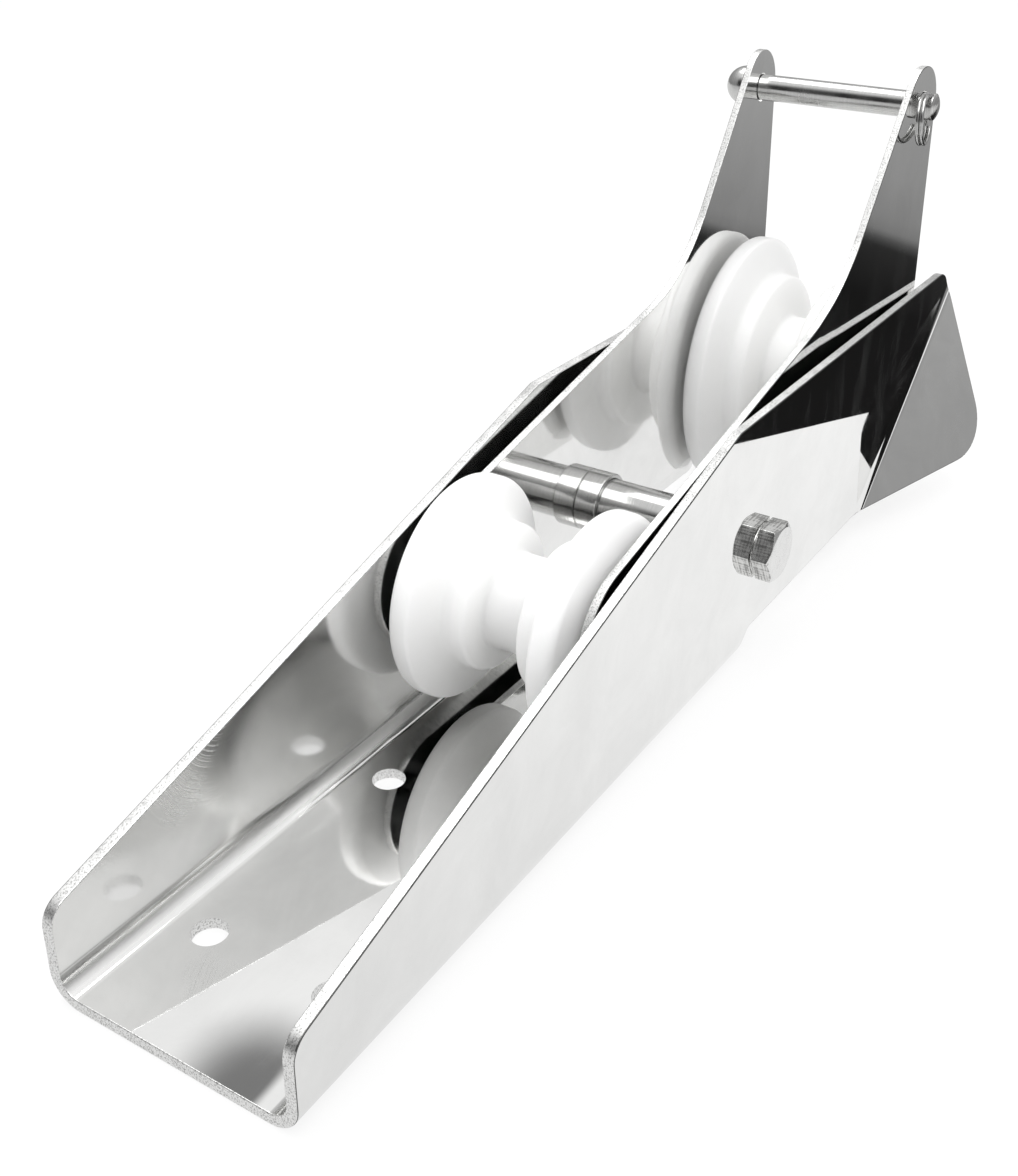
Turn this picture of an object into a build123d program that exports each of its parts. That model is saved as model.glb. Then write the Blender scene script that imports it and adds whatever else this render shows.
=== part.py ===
from build123d import *
from math import acos, asin, atan2, cos, degrees, hypot, radians, sin, sqrt, tan
import os

# Tilting bow roller. Lengths are in mm and angles in degrees.
# X runs outboard along the channel, +Y is its left side and Z is up.
# Lengths along X start at the channel's inboard end, and heights at its underside.
# The saved pieces have their origin under the middle of the four mounting holes.
# "Right" is the -Y side. Left pieces are mirror images of right ones.

# Channel: one stainless sheet, folded up along both sides.
channel_width = 70.0
channel_sheet = 3.0
channel_fold_radius = 5.0
base_length = 205.0
base_corner_radius = 8.0
wall_rear_height = 24.5
wall_front_height = 81.5
wall_level_from = 193.5
wall_top_length = 386.8
wall_foot_length = 382.8
wall_foot_height = 10.0
wall_rear_corner_radius = 6.3
wall_top_corner_radius = 11.6
wall_foot_corner_radius = 18.9

# Flare: the lower front corner of each wall is folded outward.
flare_angle = 31.8
flare_fold_radius = 11.7
flare_foot_x = 299.2
flare_slope = 38.2
flare_fold_steps = 4

# Mounting holes in the base, for M8 bolts.
mount_hole_diameter = 9.0
mount_hole_first_x = 30.5
mount_hole_pitch = 67.0
mount_hole_spread = 36.0

# Pivot: a tapped rod across the channel, with an M10 bolt through the wall at each end.
pivot_x = 216.3
pivot_z = 35.3
pivot_rod_diameter = 17.4
pivot_tap_depth = 22.0
pivot_bolt_diameter = 10.0
pivot_bolt_reach = 18.0
pivot_hex_across_flats = 17.0
pivot_hex_turn = 59.0
pivot_head_height = 6.4
pivot_head_seat_height = 0.5
hex_chamfer_slope = 30.0
hex_face_share = 0.95
pivot_hole_clearance = 0.25
bolt_clearance = 0.05
pivot_washer_diameter = 25.0
bush_collar_length = 7.8
bush_collar_wall = 1.45
bush_sleeve_wall = 0.85
bush_running_clearance = 0.05
bush_seat_clearance = 0.03

# Cradle: two sheet cheeks, splayed a little towards the ears.
cheek_sheet = 2.5
cheek_spread = 52.8
cheek_bend_x = 268.0
cheek_splay = 1.7
cheek_tail_radius = 21.0
cheek_nose_radius = 30.0
cheek_top_slope = 12.6
ear_radius = 13.0
ear_back_slope = 53.5
ear_root_radius = 65.0
ear_x = 337.5
ear_z = 149.9

# Axles: a bar with a countersunk M8 screw through the cheek at each end.
rear_axle_x = 139.3
rear_axle_z = 41.5
front_axle_x = 325.0
front_axle_z = 50.5
axle_diameter = 16.0
axle_tap_depth = 20.0
axle_screw_diameter = 8.0
axle_screw_reach = 16.0
axle_screw_head_diameter = 14.4
axle_screw_sink = 0.2
axle_screw_socket_across_flats = 5.0
axle_screw_socket_depth = 2.4
countersink_clearance = 0.05

# Rollers: stepped, with a low barrel, two shoulders and two flanges.
roller_length = 50.0
roller_rim_width = 6.6
roller_flange_foot = 13.6
roller_shoulder_end = 8.3
roller_barrel_end = 6.6
roller_bore_clearance = 0.1
rim_outer_rounding = 2.5
rim_inner_rounding = 1.4
flange_foot_rounding = 3.2
shoulder_rounding = 1.5
barrel_rounding = 1.5
rear_flange_diameter = 64.0
rear_shoulder_diameter = 42.0
rear_barrel_diameter = 27.4
front_flange_diameter = 94.0
front_shoulder_diameter = 69.0
front_barrel_diameter = 40.0
roller_washer_diameter = 30.0
roller_washer_bore_clearance = 0.15
side_gap = 0.3

# Retaining pin across the ears, kept in by a split ring.
pin_diameter = 9.0
pin_hole_diameter = 10.0
pin_end_y = -36.6
pin_end_dome = 1.4
pin_head_y = 33.6
pin_head_diameter = 14.4
pin_head_rim = 1.2
pin_head_dome = 6.6
pin_cross_hole_diameter = 4.2
pin_cross_hole_y = -33.0
pin_cross_hole_lean = 28.9
ring_radius = 7.8
ring_wire = 1.44
ring_turn_overlap = 0.06
ring_seat = 7.25
ring_swing = 7.2

# Places worked out from the sizes above.
wall_outside = channel_width / 2
wall_inside = wall_outside - channel_sheet
cheek_inside = cheek_spread / 2
cheek_outside = cheek_inside + cheek_sheet
bush_bore_radius = pivot_rod_diameter / 2 + bush_running_clearance
bush_sleeve_radius = bush_bore_radius + bush_sleeve_wall
mount_centre_x = mount_hole_first_x + mount_hole_pitch / 2
beyond = 3 * channel_width
reach = 2 * wall_top_length


def side_face(*points):
    """A face in the XZ plane, from points given as (x, z)."""
    return Plane.XZ * make_face(Polyline(*points, close=True))


def rounded(face, x, z, radius):
    """Round the corner of an XZ face that is nearest to (x, z)."""
    corner = face.vertices().sort_by_distance((x, 0, z))[0]
    return fillet(corner, radius)


def through(face, width=beyond):
    """A slab of an XZ face, running across the whole object."""
    return extrude(face, amount=width, both=True)


def turned(x, z, *points):
    """A solid of revolution about a cross axis, from points given as (radius, y)."""
    outline = make_face(Polyline(*points, close=True))
    return Pos(x, 0, z) * revolve(outline, Axis.Y)


def bar(x, z, radius, y_from, y_to):
    """A round bar along Y."""
    return turned(x, z, (0, y_from), (radius, y_from), (radius, y_to), (0, y_to))


def tube(x, z, inner, outer, y_from, y_to):
    """A round tube along Y."""
    return turned(x, z, (inner, y_from), (outer, y_from), (outer, y_to), (inner, y_to))


def save(name, solid):
    """Write one node, as a single solid, with the mounting holes' centre as its origin."""
    piece = Pos(-mount_centre_x, 0, 0) * solid.solids()[0]
    export_step(piece, "parts/" + name + ".step")


def save_pair(name, right):
    """Write a right-hand piece and its mirror image."""
    save(name + "_right", right)
    save(name + "_left", mirror(right, about=Plane.XZ))


def wall_outline():
    """Side view of the channel, with its front corners not yet folded."""
    face = side_face(
        (0, 0),
        (0, wall_rear_height),
        (wall_level_from, wall_front_height),
        (wall_top_length, wall_front_height),
        (wall_foot_length, wall_foot_height),
        (base_length, wall_foot_height),
        (base_length, 0),
    )
    face = rounded(face, 0, wall_rear_height, wall_rear_corner_radius)
    face = rounded(face, wall_top_length, wall_front_height, wall_top_corner_radius)
    face = rounded(face, wall_foot_length, wall_foot_height, wall_foot_corner_radius)
    return rounded(face, base_length, wall_foot_height, base_corner_radius)


def folded_section():
    """End view of the folded sheet, higher than the walls."""
    height = 2 * wall_front_height
    outer = Rectangle(channel_width, height, align=(Align.CENTER, Align.MIN))
    outer = fillet(outer.vertices().group_by(Axis.Y)[0], channel_fold_radius + channel_sheet)
    inner = Pos(0, channel_sheet) * Rectangle(2 * wall_inside, height, align=(Align.CENTER, Align.MIN))
    inner = fillet(inner.vertices().group_by(Axis.Y)[0], channel_fold_radius)
    return Plane.YZ * (outer - inner)


# The fold line of the flare, in the plane of the wall. Its X runs up along the line.
slope = radians(flare_slope)
fold_plane = Plane(
    origin=(flare_foot_x, 0, wall_foot_height),
    x_dir=(cos(slope), 0, sin(slope)),
    z_dir=(0, -1, 0),
)
fold_width = radians(flare_angle) * flare_fold_radius


def past_fold(outline, distance):
    """The part of the wall that lies further than a distance past the fold line."""
    half = Pos(0, -distance) * Rectangle(reach, reach, align=(Align.CENTER, Align.MAX))
    return outline & (fold_plane * half)


def fold_chord(outline, distance):
    """Where a line at a distance past the fold line enters and leaves the wall."""
    line = Pos(0, -distance) * Line((-reach, 0), (reach, 0))
    ends = (outline & (fold_plane * line)).vertices()
    along = [fold_plane.to_local_coords(Vector(*end)).X for end in ends]
    return min(along), max(along)


def fold_section(outline, share):
    """Cross-section of the folding sheet after a share of the flare angle."""
    low, high = fold_chord(outline, share * fold_width)
    turn = share * radians(flare_angle)
    corners = []
    for along, radius in (
        (low, flare_fold_radius),
        (high, flare_fold_radius),
        (high, flare_fold_radius + channel_sheet),
        (low, flare_fold_radius + channel_sheet),
    ):
        out = wall_outside + flare_fold_radius - radius * cos(turn)
        corners.append(fold_plane.from_local_coords(Vector(along, -radius * sin(turn), out)))
    return make_face(Polyline(*corners, close=True))


def right_flare(outline):
    """The folded strip and the flat panel beyond it."""
    shares = [step / flare_fold_steps for step in range(flare_fold_steps + 1)]
    strip = loft([fold_section(outline, share) for share in shares])
    panel = extrude(past_fold(outline, fold_width), amount=channel_sheet, dir=(0, 1, 0))
    panel = Pos(0, -wall_outside, 0) * panel
    panel = Pos(-fold_width * sin(slope), 0, fold_width * cos(slope)) * panel
    fold_axis = Axis(
        (flare_foot_x, -wall_outside - flare_fold_radius, wall_foot_height),
        (cos(slope), 0, sin(slope)),
    )
    return strip + panel.rotate(fold_axis, -flare_angle)


def mounting_holes():
    """Four holes through the base."""
    middle = Pos(mount_centre_x, 0, channel_sheet / 2)
    drill = Cylinder(mount_hole_diameter / 2, 2 * channel_sheet)
    return [middle * place * drill for place in GridLocations(mount_hole_pitch, mount_hole_spread, 2, 2)]


def channel():
    """The folded channel with its holes and flared front corners."""
    outline = wall_outline()
    blank = extrude(folded_section(), amount=reach)
    body = blank & through(outline - past_fold(outline, 0))
    flare = right_flare(outline)
    body = body + flare + mirror(flare, about=Plane.XZ)
    for hole in mounting_holes():
        body = body - hole
    hole_radius = pivot_bolt_diameter / 2 + pivot_hole_clearance
    return body - bar(pivot_x, pivot_z, hole_radius, -beyond, beyond)


def bolt_head():
    """The head of a right-hand pivot bolt: a round seat on the wall, then a chamfered hexagon."""
    flat_radius = hex_face_share * pivot_hex_across_flats / 2
    corner_radius = pivot_hex_across_flats / sqrt(3)
    drop = (corner_radius - flat_radius) * tan(radians(hex_chamfer_slope))
    y_from = -wall_outside - pivot_head_seat_height
    y_to = -wall_outside - pivot_head_height
    blank = Plane.XZ * Pos(pivot_x, pivot_z) * Rot(0, 0, pivot_hex_turn) * RegularPolygon(corner_radius, 6)
    prism = Pos(0, y_from, 0) * extrude(blank, amount=y_from - y_to)
    cone = turned(
        pivot_x,
        pivot_z,
        (0, y_from),
        (corner_radius, y_from),
        (corner_radius, y_to + drop),
        (flat_radius, y_to),
        (0, y_to),
    )
    return (prism & cone) + bar(pivot_x, pivot_z, flat_radius, y_from, -wall_outside)


def pivot():
    """The pivot rod and what holds it, which stay with the channel."""
    rod_radius = pivot_rod_diameter / 2
    bolt_radius = pivot_bolt_diameter / 2
    rod = bar(pivot_x, pivot_z, rod_radius, -wall_inside, wall_inside)
    for side in (-1, 1):
        end = side * wall_inside
        rod = rod - bar(pivot_x, pivot_z, bolt_radius + bolt_clearance, *sorted((end, end - side * pivot_tap_depth)))
    save("pivot_rod", rod)
    shank = bar(pivot_x, pivot_z, bolt_radius, -wall_outside, -wall_inside + pivot_bolt_reach)
    save_pair("pivot_bolt", bolt_head() + shank)
    washer = tube(
        pivot_x,
        pivot_z,
        rod_radius + bolt_clearance,
        pivot_washer_diameter / 2,
        -wall_inside,
        -cheek_outside - side_gap,
    )
    save_pair("pivot_spacer_washer", washer)


def pivot_bush():
    """A collared bush in each cheek, which turns on the pivot rod."""
    collar = bush_bore_radius + bush_collar_wall
    bush = turned(
        pivot_x,
        pivot_z,
        (bush_bore_radius, -cheek_outside),
        (bush_sleeve_radius, -cheek_outside),
        (bush_sleeve_radius, -cheek_inside),
        (collar, -cheek_inside),
        (collar, -cheek_inside + bush_collar_length),
        (bush_bore_radius, -cheek_inside + bush_collar_length),
    )
    save_pair("pivot_bush", bush)


def on_circle(centre_x, centre_z, radius, angle):
    """The point of a circle at an angle above +X."""
    return (centre_x + radius * cos(radians(angle)), centre_z + radius * sin(radians(angle)))


def crossing(first, first_angle, second, second_angle):
    """Where a line through each of two points, at a given slope, cross."""
    ax, az = cos(radians(first_angle)), sin(radians(first_angle))
    bx, bz = cos(radians(second_angle)), sin(radians(second_angle))
    dx, dz = second[0] - first[0], second[1] - first[1]
    along = (dx * bz - dz * bx) / (ax * bz - az * bx)
    return (first[0] + along * ax, first[1] + along * az)


def cheek_outline():
    """Side view of a cheek: three round ends, joined by tangents, with the ear standing up."""
    rise = degrees(atan2(ear_z - front_axle_z, ear_x - front_axle_x))
    spacing = hypot(ear_x - front_axle_x, ear_z - front_axle_z)
    front_angle = rise - degrees(acos((cheek_nose_radius - ear_radius) / spacing))
    nose_top = on_circle(front_axle_x, front_axle_z, cheek_nose_radius, front_angle)
    ear_front = on_circle(ear_x, ear_z, ear_radius, front_angle)
    ear_back = on_circle(ear_x, ear_z, ear_radius, ear_back_slope + 90)
    tail_top = on_circle(rear_axle_x, rear_axle_z, cheek_tail_radius, cheek_top_slope + 90)
    span = hypot(front_axle_x - rear_axle_x, front_axle_z - rear_axle_z)
    dip = degrees(atan2(front_axle_z - rear_axle_z, front_axle_x - rear_axle_x))
    foot_angle = dip - 90 - degrees(asin((cheek_tail_radius - cheek_nose_radius) / span))
    tail_foot = on_circle(rear_axle_x, rear_axle_z, cheek_tail_radius, foot_angle)
    nose_foot = on_circle(front_axle_x, front_axle_z, cheek_nose_radius, foot_angle)
    root = crossing(tail_top, cheek_top_slope, ear_back, ear_back_slope)
    outline = [
        Line(tail_foot, nose_foot),
        ThreePointArc(nose_foot, on_circle(front_axle_x, front_axle_z, cheek_nose_radius, -45), nose_top),
        Line(nose_top, ear_front),
        ThreePointArc(ear_front, on_circle(ear_x, ear_z, ear_radius, 90), ear_back),
        Line(ear_back, root),
        Line(root, tail_top),
        ThreePointArc(tail_top, on_circle(rear_axle_x, rear_axle_z, cheek_tail_radius, 180), tail_foot),
    ]
    face = Plane.XZ * make_face(outline)
    return rounded(face, root[0], root[1], ear_root_radius)


def splayed(x, distance):
    """How far out a cheek face is at x, where its rear part is at the given distance."""
    mitre = cheek_bend_x + (distance - cheek_outside) * -tan(radians(cheek_splay / 2))
    return distance + max(0, x - mitre) * tan(radians(cheek_splay))


def cheek_sheet_slab():
    """Plan view of a right-hand cheek, bent outward, as a tall slab."""
    mitre = cheek_bend_x + cheek_sheet * tan(radians(cheek_splay / 2))
    plan = make_face(
        Polyline(
            (0, -cheek_outside),
            (cheek_bend_x, -cheek_outside),
            (reach, -splayed(reach, cheek_outside)),
            (reach, -splayed(reach, cheek_inside)),
            (mitre, -cheek_inside),
            (0, -cheek_inside),
            close=True,
        )
    )
    return extrude(plan, amount=reach / 2)


def countersink(x, z, y_face, clearance):
    """The shape of a countersunk screw whose head is flush with a right-hand face."""
    shank = axle_screw_diameter / 2 + clearance
    head = axle_screw_head_diameter / 2 + clearance
    cone = head - shank
    return turned(
        x,
        z,
        (0, y_face - beyond),
        (head, y_face - beyond),
        (head, y_face),
        (shank, y_face + cone),
        (shank, y_face + axle_tap_depth),
        (0, y_face + axle_tap_depth),
    )


def screw_face(x):
    """How far out the head of an axle screw is."""
    return splayed(x, cheek_outside) - axle_screw_sink


def cheek():
    """A right-hand cheek with its four holes."""
    body = cheek_sheet_slab() & through(cheek_outline())
    body = body - bar(pivot_x, pivot_z, bush_sleeve_radius + bush_seat_clearance, -beyond, 0)
    body = body - bar(ear_x, ear_z, pin_hole_diameter / 2, -beyond, 0)
    for x, z in ((rear_axle_x, rear_axle_z), (front_axle_x, front_axle_z)):
        body = body - countersink(x, z, -screw_face(x), countersink_clearance)
    save_pair("cradle_cheek", body)


def axle_half_length(x):
    """Half the axle's length: it stops where the splayed cheek comes nearest."""
    return splayed(x - axle_diameter / 2, cheek_inside)


def axle(name, x, z):
    """An axle with a tapped hole in each end, and its screws and side washers."""
    half = axle_half_length(x)
    body = bar(x, z, axle_diameter / 2, -half, half)
    hole = countersink(x, z, -screw_face(x), countersink_clearance)
    body = body - hole - mirror(hole, about=Plane.XZ)
    save(name + "_axle", body)
    face = -screw_face(x)
    screw = countersink(x, z, face, 0) & bar(x, z, axle_screw_head_diameter, face, face + axle_screw_reach)
    key = Plane.XZ * Pos(x, z) * RegularPolygon(axle_screw_socket_across_flats / sqrt(3), 6)
    screw = screw - Pos(0, face + axle_screw_socket_depth, 0) * extrude(key, amount=beyond)
    save_pair(name + "_axle_screw", screw)
    washer = tube(
        x,
        z,
        axle_diameter / 2 + roller_washer_bore_clearance,
        roller_washer_diameter / 2,
        -splayed(x - roller_washer_diameter / 2, cheek_inside),
        -roller_length / 2 - side_gap,
    )
    save_pair(name + "_roller_washer", washer)


def roller(name, x, z, flange_diameter, shoulder_diameter, barrel_diameter):
    """A stepped roller, running on its axle."""
    bore = axle_diameter / 2 + roller_bore_clearance
    half = roller_length / 2
    flange, shoulder, barrel = flange_diameter / 2, shoulder_diameter / 2, barrel_diameter / 2
    steps = [
        (flange, half, rim_outer_rounding),
        (flange, half - roller_rim_width, rim_inner_rounding),
        (shoulder, roller_flange_foot, flange_foot_rounding),
        (shoulder, roller_shoulder_end, shoulder_rounding),
        (barrel, roller_barrel_end, barrel_rounding),
    ]
    right = [(radius, y) for radius, y, rounding in steps]
    left = [(radius, -y) for radius, y in reversed(right)]
    face = make_face(Polyline((bore, half), *right, *left, (bore, -half), close=True))
    for radius, y, rounding in steps:
        for side in (-1, 1):
            corner = face.vertices().sort_by_distance((radius, side * y, 0))[0]
            face = fillet(corner, rounding)
    save(name, Pos(x, 0, z) * revolve(face, Axis.Y))


def dome(radius, y_edge, height):
    """Half the outline of a dome, from its edge to its top on the axis."""
    ball = (radius**2 + height**2) / (2 * abs(height))
    side = 1 if height > 0 else -1
    centre = y_edge + height - side * ball
    turn = (90 + degrees(atan2(side * (y_edge - centre), radius))) / 2
    middle = (ball * cos(radians(turn)), centre + side * ball * sin(radians(turn)))
    return ThreePointArc((radius, y_edge), middle, (0, y_edge + height))


def retaining_pin():
    """The pin across the ears: domed head on the left, cross hole on the right."""
    shank, head = pin_diameter / 2, pin_head_diameter / 2
    rim = pin_head_y + pin_head_rim
    tip = pin_end_y + pin_end_dome
    outline = [
        Line((0, pin_end_y), (0, rim + pin_head_dome)),
        dome(head, rim, pin_head_dome),
        Line((head, rim), (head, pin_head_y)),
        Line((head, pin_head_y), (shank, pin_head_y)),
        Line((shank, pin_head_y), (shank, tip)),
        dome(shank, tip, -pin_end_dome),
    ]
    pin = Pos(ear_x, 0, ear_z) * revolve(make_face(outline), Axis.Y)
    hole = Rot(0, -pin_cross_hole_lean, 0) * Cylinder(pin_cross_hole_diameter / 2, 2 * pin_diameter)
    save("retaining_pin", pin - Pos(ear_x, pin_cross_hole_y, ear_z) * hole)


def pin_ring():
    """A split ring of two turns, hanging in the cross hole of the pin."""
    pitch = ring_wire - ring_turn_overlap
    turn = Circle(ring_wire / 2)
    section = Pos(ring_radius, pitch / 2) * turn + Pos(ring_radius, -pitch / 2) * turn
    ring = revolve(Plane.XZ * section, Axis.Z)
    ring = Rot(90, 0, 0) * ring
    ring = Rot(0, 0, ring_swing) * Pos(-ring_seat, 0, 0) * ring
    ring = Rot(0, -pin_cross_hole_lean, 0) * ring
    save("pin_ring", Pos(ear_x, pin_cross_hole_y, ear_z) * ring)


os.makedirs("parts", exist_ok=True)
save("channel", channel())
pivot()
pivot_bush()
cheek()
axle("rear", rear_axle_x, rear_axle_z)
axle("front", front_axle_x, front_axle_z)
roller(
    "rear_roller",
    rear_axle_x,
    rear_axle_z,
    rear_flange_diameter,
    rear_shoulder_diameter,
    rear_barrel_diameter,
)
roller(
    "front_roller",
    front_axle_x,
    front_axle_z,
    front_flange_diameter,
    front_shoulder_diameter,
    front_barrel_diameter,
)
retaining_pin()
pin_ring()
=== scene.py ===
from math import atan2, cos, pi, radians, sin, tan

import bmesh
import bpy
from bpy.props import FloatProperty, FloatVectorProperty, IntProperty, PointerProperty, StringProperty
from mathutils import Matrix, Vector


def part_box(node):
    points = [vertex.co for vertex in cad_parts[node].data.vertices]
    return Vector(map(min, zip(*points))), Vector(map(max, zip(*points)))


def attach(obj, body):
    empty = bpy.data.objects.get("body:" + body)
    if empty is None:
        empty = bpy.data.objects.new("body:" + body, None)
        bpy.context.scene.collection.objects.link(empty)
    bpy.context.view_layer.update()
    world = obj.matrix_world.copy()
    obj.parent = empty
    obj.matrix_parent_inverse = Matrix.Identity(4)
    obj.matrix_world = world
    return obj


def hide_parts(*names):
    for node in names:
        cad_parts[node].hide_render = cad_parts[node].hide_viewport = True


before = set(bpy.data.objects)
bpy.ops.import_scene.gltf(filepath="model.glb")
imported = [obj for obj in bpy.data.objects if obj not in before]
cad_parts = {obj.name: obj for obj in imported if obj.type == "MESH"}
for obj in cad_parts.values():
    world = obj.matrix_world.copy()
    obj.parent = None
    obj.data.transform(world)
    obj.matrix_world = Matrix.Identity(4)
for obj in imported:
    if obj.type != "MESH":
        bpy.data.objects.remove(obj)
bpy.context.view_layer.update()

# Looks of the tilting bow roller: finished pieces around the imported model, its materials and its stage.
# Lengths are in metres. X runs outboard along the channel, +Y is its left side and Z is up.

bl_info = {
    "name": "Tilting bow roller",
    "version": (1, 0, 0),
    "blender": (4, 5, 0),
    "location": "3D View > Sidebar > Bow roller",
    "description": "Finished pieces, materials and studio for a tilting bow roller",
    "category": "Add Mesh",
}

MM = 0.001

# Points closer than this are one point, and an edge that turns further than this, in degrees, is sharp.
SAME_POINT = 0.0001 * MM
SHARP_TURN = 32

# The finishes of a sheet piece, in the order of its materials; the third is a dark line of painted shade
# along the outer corners.
OUTSIDE, GROUND, SHADED_CORNER, INSIDE = range(4)


def middle(node):
    """The centre of a CAD node's box."""
    low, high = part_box(node)
    return (low + high) / 2


def span(node):
    """The size of a CAD node's box."""
    low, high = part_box(node)
    return high - low


# Sizes and colours that a user would change


def length(name, description, millimetres, low=0.0):
    """A size in a property group, given in millimetres."""
    limits = {"default": millimetres * MM, "min": low}
    return FloatProperty(name=name, description=description, unit="LENGTH", subtype="DISTANCE", **limits)


def rotation(name, description, turn):
    """A turn in a property group, in radians."""
    return FloatProperty(name=name, description=description, default=turn, unit="ROTATION", subtype="ANGLE")


def number(name, description, value):
    """A plain number in a property group."""
    return FloatProperty(name=name, description=description, default=value, min=0)


def standpoint(name, description, point):
    """A point in a property group, in metres."""
    return FloatVectorProperty(name=name, description=description, default=point)


def finish(name, description, code):
    """A colour in a property group, written as sRGB hex."""
    return StringProperty(name=name, description=description, default=code)


class SheetSettings(bpy.types.PropertyGroup):
    edge_break: length("Edge break", "Width of the broken edge of the channel's sheet", 0.3)
    cheek_edge_break: length("Cheek edge break", "Width of the broken edge of the cheeks' sheet", 0.2)
    polished: finish("Polished face", "Colour of the mirror-polished sheet", "#F1F1F0")
    ground: finish("Ground edge", "Colour of the ground sheet edges", "#F2F2F1")
    # The dark grey of the line of painted shade along the sheet's outer corners.
    corner_shade: finish("Corner shade", "Colour of the sheet's outer corners", "#4A4A49")


class RollerSettings(bpy.types.PropertyGroup):
    rim_width: length("Rim width", "Width of the flat rim of each flange", 6.6)
    flange_foot: length("Flange foot", "Where the flange meets the shoulder, from the middle", 13.6)
    shoulder_end: length("Shoulder end", "Where the shoulder ends, from the middle", 8.3)
    barrel_end: length("Barrel end", "Where the barrel ends, from the middle", 6.6)
    rim_outer_rounding: length("Outer rim rounding", "Rounding of the rim's outer corner", 2.5)
    rim_inner_rounding: length("Inner rim rounding", "Rounding of the rim's inner corner", 1.4)
    foot_rounding: length("Flange foot rounding", "Rounding where the flange meets the shoulder", 3.2)
    shoulder_rounding: length("Shoulder rounding", "Rounding of the shoulder's corner", 1.5)
    barrel_rounding: length("Barrel rounding", "Rounding at the barrel's end", 1.5)
    bore: length("Bore", "Diameter of the bore", 16.2)
    rear_shoulder: length("Rear shoulder", "Shoulder diameter of the rear roller", 42.0)
    rear_barrel: length("Rear barrel", "Barrel diameter of the rear roller", 27.4)
    front_shoulder: length("Front shoulder", "Shoulder diameter of the front roller", 69.0)
    front_barrel: length("Front barrel", "Barrel diameter of the front roller", 40.0)
    around: IntProperty(name="Around", description="Facets round each roller", default=160, min=24)
    steps: IntProperty(name="Rounding steps", description="Facets in each rounding", default=7, min=2)
    plastic: finish("Plastic", "Colour of the rollers", "#FAFAF9")


class PivotSettings(bpy.types.PropertyGroup):
    across_flats: length("Across flats", "Size of the bolt heads", 17.0)
    chamfer_slope: rotation("Chamfer slope", "Slope of the bolt heads' chamfer", radians(30))
    face_share: number("Face share", "Flat face across, as a share of the flats", 0.95)
    turn: rotation("Turn", "How far the bolt heads are turned", radians(59))
    head: length("Head height", "Height of the bolt heads, with their seats", 6.4)
    seat: length("Seat", "Height of the round seat under each bolt head", 0.5)
    bush_gap: length("Bush gap", "Running clearance of the bushes on the rod", 0.05)
    bush_sleeve: length("Bush sleeve", "Wall thickness of the bushes in the cheeks", 0.85)
    bush_collar: length("Bush collar", "Length of the bushes' collars", 7.8)
    machined: finish("Machined steel", "Colour of the bolts and screws", "#E2E2E1")
    turned: finish("Turned steel", "Colour of the rod, bushes and axles", "#DADAD9")
    nylon: finish("Nylon", "Colour of the washers", "#EDEDEA")


class PinSettings(bpy.types.PropertyGroup):
    diameter: length("Pin", "Diameter of the retaining pin", 9.0)
    head_width: length("Head width", "Diameter of the pin's head", 13.6)
    head_rim: length("Head rim", "Height of the head's straight rim", 1.4)
    head_under: length("Head place", "Where the head's underside lies, from the middle", 33.6)
    tip_dome: length("Tip dome", "Height of the pin's domed tip", 1.4)
    cross_hole: length("Cross hole", "Diameter of the hole for the split ring", 4.2)
    cross_hole_y: length("Cross hole place", "The cross hole's place along Y", -33.0, low=-1.0)
    lean: rotation("Lean", "How far the cross hole leans inboard", radians(28.9))
    ring: length("Ring", "Mean radius of the split ring", 7.8)
    wire: length("Wire", "Diameter of the ring's wire", 1.4)
    pitch: length("Pitch", "Distance between the two turns", 1.4)
    seat: length("Seat", "How far the ring's centre hangs from the hole's axis", 7.25)
    swing: rotation("Swing", "How far the ring has swung outward", radians(7.2))
    ends: rotation("Wire ends", "How far round the ring the wire's ends lie", radians(-25))
    satin: finish("Pin steel", "Colour of the retaining pin", "#E0E0DF")
    spring: finish("Spring wire", "Colour of the split ring", "#C4C4C3")


class StageSettings(bpy.types.PropertyGroup):
    floor_size: length("Floor", "Side of the floor", 9000)
    floor: finish("Floor colour", "Colour of the floor", "#F4F4F4")
    sky: number("Sky", "Strength of the soft light from all round", 1.0)
    key: number("Key", "Power of the large soft lamp", 12.0)
    fill: number("Fill", "Power of the second soft lamp", 9.0)
    eye: standpoint("Camera", "Where the camera stands", (-0.206400, -0.176448, 0.237064))
    aim: standpoint("Aim", "What the camera points at", (0.158868, 0.038228, 0.040))
    roll: rotation("Roll", "How far the camera is rolled", -0.02179)
    focal_pixels: number("Focal length", "In pixels of the photograph", 1407.73)
    centre_column: number("Centre column", "Principal point, in pixels of the photograph", 568.42)
    centre_row: number("Centre row", "Principal point, in pixels of the photograph", 470.16)


GROUPS = {
    "bow_sheet": SheetSettings,
    "bow_roller": RollerSettings,
    "bow_pivot": PivotSettings,
    "bow_pin": PinSettings,
    "bow_stage": StageSettings,
}

# Making meshes


def add(tree, kind, inputs=(), **settings):
    """Add a node with its settings and its inputs, by name or in order; a node means its first result."""
    node = tree.nodes.new(kind)
    for name, value in settings.items():
        setattr(node, name, value)
    for name, value in inputs.items() if isinstance(inputs, dict) else enumerate(inputs):
        if isinstance(value, bpy.types.Node):
            value = value.outputs[0]
        if isinstance(value, bpy.types.NodeSocket):
            tree.links.new(value, node.inputs[name])
        else:
            node.inputs[name].default_value = value
    return node


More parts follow.
